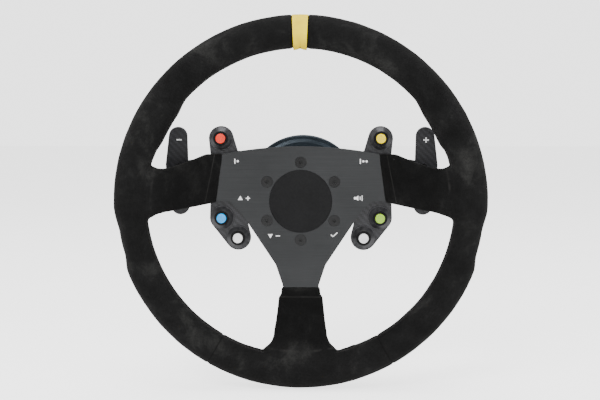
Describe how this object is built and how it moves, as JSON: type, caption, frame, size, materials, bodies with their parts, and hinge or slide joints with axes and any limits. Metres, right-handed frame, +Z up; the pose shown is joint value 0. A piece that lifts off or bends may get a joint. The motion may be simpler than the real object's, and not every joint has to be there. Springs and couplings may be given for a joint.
{
  "type": "quick release steering wheel",
  "caption": "Round three-spoke suede racing steering wheel with buttons, shift paddles, a ball-lock quick release hub, a bolt-on column flange and a coiled lead.",
  "frame": {"origin": "centre of the rear flange's back face, where the column bolts on", "axes": "+Y out of the back along the wheel's axis, towards the column; -Y towards the driver; +Z up; +X to the driver's right"},
  "size_m": [0.3298, 0.153, 0.3305],
  "materials": {
    "hub_black": "dark anodised",
    "hub_grey": "satin dark anodised",
    "steel": "machined",
    "spring_steel": "drawn wire",
    "gold": "gold anodised",
    "bronze": "dark bronze",
    "black_metal": "black anodised",
    "plate_grey": "brushed, dark grey anodised",
    "carbon": "carbon fibre weave, clear coat",
    "black_plastic": "moulded",
    "cap_black": "fine matt",
    "suede": "brushed suede",
    "foam": "moulded foam",
    "marker_yellow": "smooth tape",
    "board_green": "solder mask",
    "magnet": "nickel plated",
    "bolt_black": "black oxide",
    "bolt_bright": "zinc plated",
    "red": "gloss",
    "blue": "gloss",
    "white": "gloss",
    "yellow": "gloss",
    "green": "gloss",
    "cord_black": "satin"
  },
  "bodies": {
    "hub": {"hub_flange": "hub_black", "hub_body": "hub_grey", "flange_screws": "bolt_black", "hub_nose": "hub_grey", "nose_screws": "bolt_bright", "qr_spigot": "steel", "hub_gold_ring": "gold", "cord_socket": "black_plastic", "cord_plug": "black_plastic", "cord_lead_hub": "cord_black", "cord_coil": "cord_black"},
    "wheel": {"cord_lead_wheel": "cord_black", "qr_sleeve": "black_metal", "locking_balls": "steel", "collar_circlip": "spring_steel", "collar_spring": "spring_steel", "electronics_housing": "black_plastic", "housing_screws": "bolt_bright", "circuit_board": "board_green", "cable_gland": "black_plastic", "button_plate": "carbon", "plate_spacer": "black_plastic", "rim_core": "steel", "spoke_plate": "plate_grey", "centre_cap": "cap_black", "plate_screws": "bolt_black", "rim_foam": "foam", "rim_cover": "suede", "centre_marker": "marker_yellow", "spoke_wrap_left": "suede", "spoke_wrap_right": "suede", "spoke_wrap_lower": "suede", "button_bezels": "black_metal", "switch_bodies": "black_plastic", "switch_nuts": "bolt_bright", "button_springs": "spring_steel", "shifter_block_left": "black_metal", "shifter_block_right": "black_metal", "lever_back_plate_left": "black_metal", "lever_back_plate_right": "black_metal", "stop_magnets": "magnet", "block_screws": "bolt_bright", "lever_pins": "steel", "microswitches": "black_plastic"},
    "collar": {"release_collar": "gold", "collar_lip": "bronze"},
    "button_red": {"button_red": "red"},
    "button_yellow": {"button_yellow": "yellow"},
    "button_blue": {"button_blue": "blue"},
    "button_green": {"button_green": "green"},
    "button_white_left": {"button_white_left": "white"},
    "button_white_right": {"button_white_right": "white"},
    "paddle_left": {"paddle_arm_left": "black_metal", "paddle_blade_left": "carbon", "lever_magnet_left": "magnet", "blade_screws_left": "bolt_bright"},
    "paddle_right": {"paddle_arm_right": "black_metal", "paddle_blade_right": "carbon", "lever_magnet_right": "magnet", "blade_screws_right": "bolt_bright"}
  },
  "joints": [
    {"name": "wheel_release", "type": "slide", "parent": "hub", "child": "wheel", "axis": [0, -1, 0], "range_m": [0, 0.045], "deforming": ["cord_lead_hub", "cord_coil", "cord_lead_wheel"]},
    {"name": "collar_slide", "type": "slide", "parent": "wheel", "child": "collar", "axis": [0, -1, 0], "range_m": [0, 0.0055], "stiffness_N_per_m": 2500, "springref_m": -0.004, "deforming": ["collar_spring"]},
    {"name": "press_red", "type": "slide", "parent": "wheel", "child": "button_red", "axis": [0, 1, 0], "range_m": [0, 0.0015], "stiffness_N_per_m": 1200, "springref_m": -0.0008, "deforming": ["button_springs"]},
    {"name": "press_yellow", "type": "slide", "parent": "wheel", "child": "button_yellow", "axis": [0, 1, 0], "range_m": [0, 0.0015], "stiffness_N_per_m": 1200, "springref_m": -0.0008, "deforming": ["button_springs"]},
    {"name": "press_blue", "type": "slide", "parent": "wheel", "child": "button_blue", "axis": [0, 1, 0], "range_m": [0, 0.0015], "stiffness_N_per_m": 1200, "springref_m": -0.0008, "deforming": ["button_springs"]},
    {"name": "press_green", "type": "slide", "parent": "wheel", "child": "button_green", "axis": [0, 1, 0], "range_m": [0, 0.0015], "stiffness_N_per_m": 1200, "springref_m": -0.0008, "deforming": ["button_springs"]},
    {"name": "press_white_left", "type": "slide", "parent": "wheel", "child": "button_white_left", "axis": [0, 1, 0], "range_m": [0, 0.0015], "stiffness_N_per_m": 1200, "springref_m": -0.0008, "deforming": ["button_springs"]},
    {"name": "press_white_right", "type": "slide", "parent": "wheel", "child": "button_white_right", "axis": [0, 1, 0], "range_m": [0, 0.0015], "stiffness_N_per_m": 1200, "springref_m": -0.0008, "deforming": ["button_springs"]},
    {"name": "pull_paddle_left", "type": "hinge", "parent": "wheel", "child": "paddle_left", "pos_m": [-0.061, -0.08225, 0.032], "axis": [0, 0, 1], "range_deg": [0, 5], "stiffness_Nm_per_rad": 1.5, "springref_deg": -5.73},
    {"name": "pull_paddle_right", "type": "hinge", "parent": "wheel", "child": "paddle_right", "pos_m": [0.061, -0.08225, 0.032], "axis": [0, 0, -1], "range_deg": [0, 5], "stiffness_Nm_per_rad": 1.5, "springref_deg": -5.73}
  ]
}
